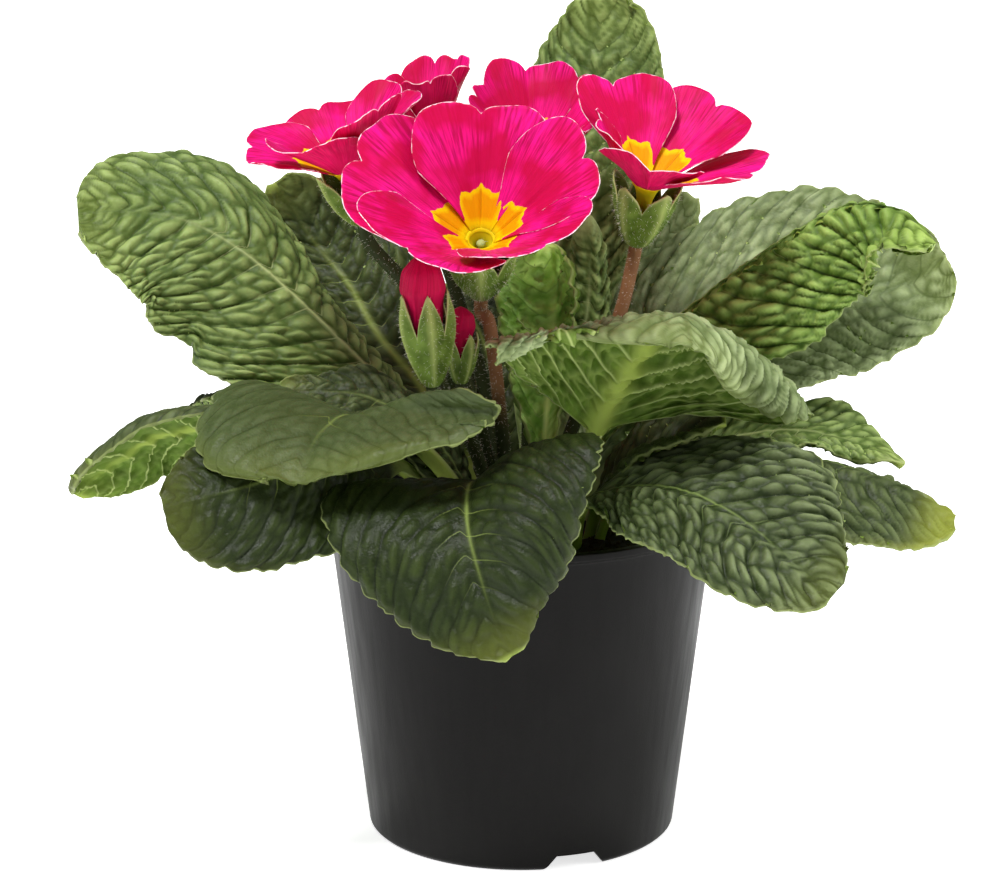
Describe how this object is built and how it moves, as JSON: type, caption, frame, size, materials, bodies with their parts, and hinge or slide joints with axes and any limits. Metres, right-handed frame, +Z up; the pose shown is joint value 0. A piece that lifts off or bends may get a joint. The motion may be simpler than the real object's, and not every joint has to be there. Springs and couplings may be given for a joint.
{
  "type": "potted primrose",
  "caption": "Primrose in flower with broad crinkled leaves and yellow-eyed pink blooms, growing in compost in a round black nursery pot.",
  "frame": {"origin": "middle of the circle on which the pot stands", "axes": "+Z up along the pot's axis, -Y towards the largest flower, +X to the right seen from there"},
  "size_m": [0.2006, 0.1418, 0.1865],
  "materials": {
    "pot_plastic": "satin black thermoformed polypropylene",
    "compost": "damp peat compost",
    "leaf": "matt crinkled green leaf",
    "stalk": "downy brownish green stalk",
    "petal": "velvety magenta pink petal"
  },
  "bodies": {
    "root": {"pot": "pot_plastic", "soil": "compost", "leaf_01_upper_left": "leaf", "leaf_02_left_inner": "leaf", "leaf_03_back_left": "leaf", "leaf_04_front_left": "leaf", "leaf_05_low_left": "leaf", "leaf_06_far_left": "leaf", "leaf_07_front": "leaf", "leaf_08_arched_front": "leaf", "leaf_09_low_right": "leaf", "leaf_10_far_right": "leaf", "leaf_11_right_folded": "leaf", "leaf_12_back_right": "leaf", "leaf_13_right_rolled": "leaf", "leaf_14_back_upright": "leaf", "leaf_15_back_right_upright": "leaf", "leaf_16_centre_bright": "leaf", "leaf_17_centre_dark": "leaf", "leaf_18_inner_right": "leaf", "leaf_19_low_back": "leaf", "leaf_20_low_back_right": "leaf", "leaf_21_low_back_left": "leaf", "flower_1_stalk": "stalk", "flower_1_corolla": "petal", "flower_2_stalk": "stalk", "flower_2_corolla": "petal", "flower_3_stalk": "stalk", "flower_3_corolla": "petal", "flower_4_stalk": "stalk", "flower_4_corolla": "petal", "flower_5_stalk": "stalk", "flower_5_corolla": "petal", "bud_1_stalk": "stalk", "bud_1_petals": "petal", "bud_2_stalk": "stalk", "bud_2_petals": "petal"}
  },
  "joints": []
}
